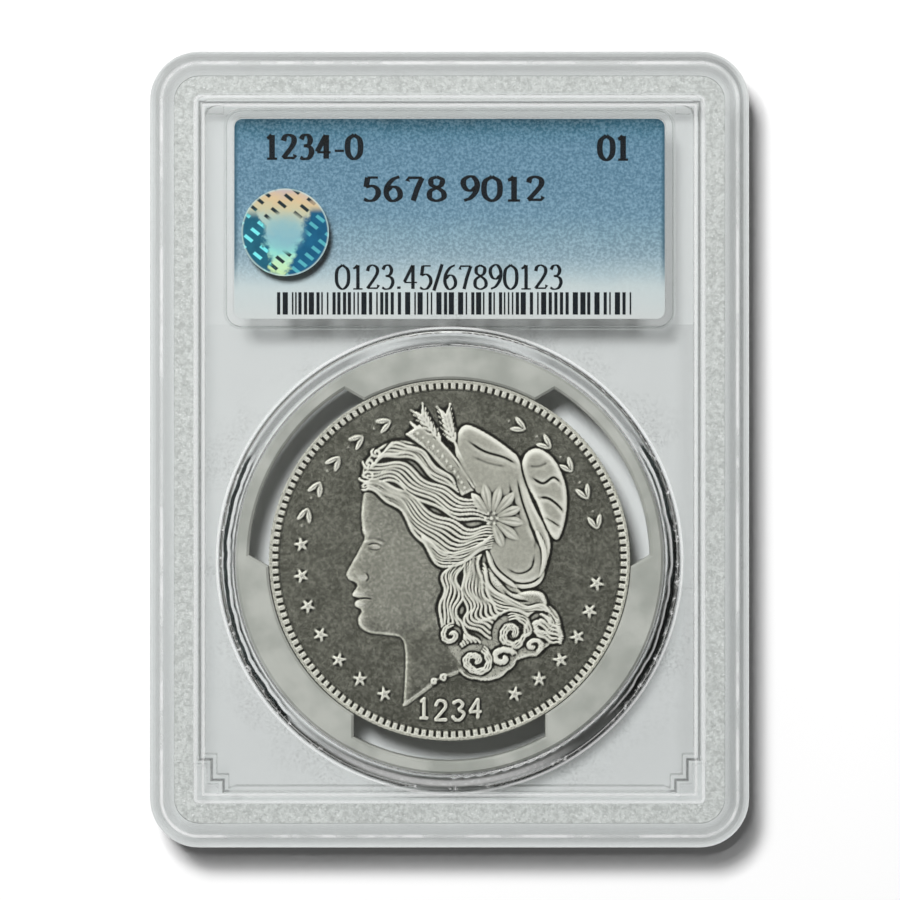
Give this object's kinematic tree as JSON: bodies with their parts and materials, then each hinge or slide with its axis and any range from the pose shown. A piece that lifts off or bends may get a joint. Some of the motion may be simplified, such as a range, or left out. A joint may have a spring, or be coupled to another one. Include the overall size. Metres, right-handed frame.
{
  "type": "graded_coin_slab",
  "caption": "Sealed clear plastic coin slab with a large coin in a pronged ring and a printed card above it, lying on its back.",
  "frame": {"origin": "middle of the back face, at the bottom of the bounding box", "axes": "+X across the slab to the right as the card is read, +Y up the slab towards the card, +Z out of the front face"},
  "size_m": [0.063, 0.0838, 0.008],
  "materials": {
    "clear_plastic": "clear polished polycarbonate",
    "frosted_weld": "frosted melted plastic",
    "ring_plastic": "translucent soft plastic",
    "coin_silver": "struck silver with mirror fields and frosted relief",
    "card_paper": "printed card, blue fading to pale grey",
    "foil": "holographic foil"
  },
  "bodies": {
    "root": {"front_shell": "clear_plastic", "back_shell": "clear_plastic", "weld_bead": "frosted_weld", "coin_gasket": "ring_plastic", "coin": "coin_silver", "label_card": "card_paper", "security_sticker": "foil", "back_seal": "foil"}
  },
  "joints": []
}
